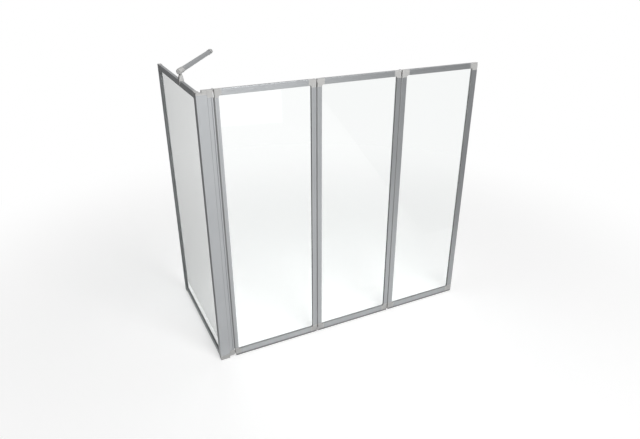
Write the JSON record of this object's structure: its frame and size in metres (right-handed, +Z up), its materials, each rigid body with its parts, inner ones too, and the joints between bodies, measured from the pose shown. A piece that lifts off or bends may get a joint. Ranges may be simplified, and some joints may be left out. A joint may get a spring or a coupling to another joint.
{
  "type": "folding bath screen",
  "caption": "Folding framed glass bath screen with hinged leaves, corner post, fixed side panel and a stabilising bar to the wall.",
  "frame": {"origin": "centre of the corner post's foot, on the tub rim", "axes": "+X along the closed leaves away from the post, +Y from the leaves back to the wall, +Z up"},
  "size_m": [1.2943, 0.6585, 1.2504],
  "materials": {
    "frame_aluminium": "satin anodised",
    "light_plastic": "fine matt",
    "clear_glass": "clear",
    "seal": "soft matt",
    "steel": "bright"
  },
  "bodies": {
    "fixed_frame": {"wall_profile": "frame_aluminium", "side_wall_stile": "frame_aluminium", "side_front_stile": "frame_aluminium", "side_top_rail": "frame_aluminium", "side_bottom_rail": "frame_aluminium", "side_corner_blocks": "light_plastic", "side_glass": "clear_glass", "side_gasket": "seal", "side_sill_seal": "seal", "frame_screws": "steel", "corner_post": "frame_aluminium", "post_cap": "light_plastic", "post_foot": "light_plastic", "hinge_profile": "frame_aluminium", "hinge_top_cap": "light_plastic", "hinge_bottom_cap": "light_plastic", "rail_clamp": "light_plastic", "bar_screws": "steel", "bar_elbow": "light_plastic", "bar_tube": "frame_aluminium", "bar_wall_socket": "light_plastic"},
    "leaf_1": {"leaf_1_hinge_stile": "frame_aluminium", "leaf_1_far_stile": "frame_aluminium", "leaf_1_top_rail": "frame_aluminium", "leaf_1_bottom_rail": "frame_aluminium", "leaf_1_hinge_top_block": "light_plastic", "leaf_1_hinge_bottom_block": "light_plastic", "leaf_1_far_top_block": "light_plastic", "leaf_1_far_bottom_block": "light_plastic", "leaf_1_glass": "clear_glass", "leaf_1_gasket": "seal", "leaf_1_drip_seal": "seal", "leaf_1_joint_seal": "seal", "leaf_1_hinge_pins": "steel"},
    "leaf_2": {"leaf_2_hinge_stile": "frame_aluminium", "leaf_2_far_stile": "frame_aluminium", "leaf_2_top_rail": "frame_aluminium", "leaf_2_bottom_rail": "frame_aluminium", "leaf_2_hinge_top_block": "light_plastic", "leaf_2_hinge_bottom_block": "light_plastic", "leaf_2_far_top_block": "light_plastic", "leaf_2_far_bottom_block": "light_plastic", "leaf_2_glass": "clear_glass", "leaf_2_gasket": "seal", "leaf_2_drip_seal": "seal", "leaf_2_joint_seal": "seal", "leaf_2_hinge_pins": "steel"},
    "leaf_3": {"leaf_3_hinge_stile": "frame_aluminium", "leaf_3_far_stile": "frame_aluminium", "leaf_3_top_rail": "frame_aluminium", "leaf_3_bottom_rail": "frame_aluminium", "leaf_3_hinge_top_block": "light_plastic", "leaf_3_hinge_bottom_block": "light_plastic", "leaf_3_far_top_block": "light_plastic", "leaf_3_far_bottom_block": "light_plastic", "leaf_3_glass": "clear_glass", "leaf_3_gasket": "seal", "leaf_3_drip_seal": "seal", "leaf_3_joint_seal": "seal", "leaf_3_hinge_pins": "steel"}
  },
  "joints": [
    {"name": "leaf_1_hinge", "type": "hinge", "parent": "fixed_frame", "child": "leaf_1", "pos_m": [0.0455, 0.009, 0.61], "axis": [0, 0, 1], "range_deg": [0, 90]},
    {"name": "leaf_2_hinge", "type": "hinge", "parent": "leaf_1", "child": "leaf_2", "pos_m": [0.4605, -0.009, 0.61], "axis": [0, 0, 1], "range_deg": [-180, 0]},
    {"name": "leaf_3_hinge", "type": "hinge", "parent": "leaf_2", "child": "leaf_3", "pos_m": [0.8585, 0.009, 0.61], "axis": [0, 0, 1], "range_deg": [0, 180]}
  ]
}
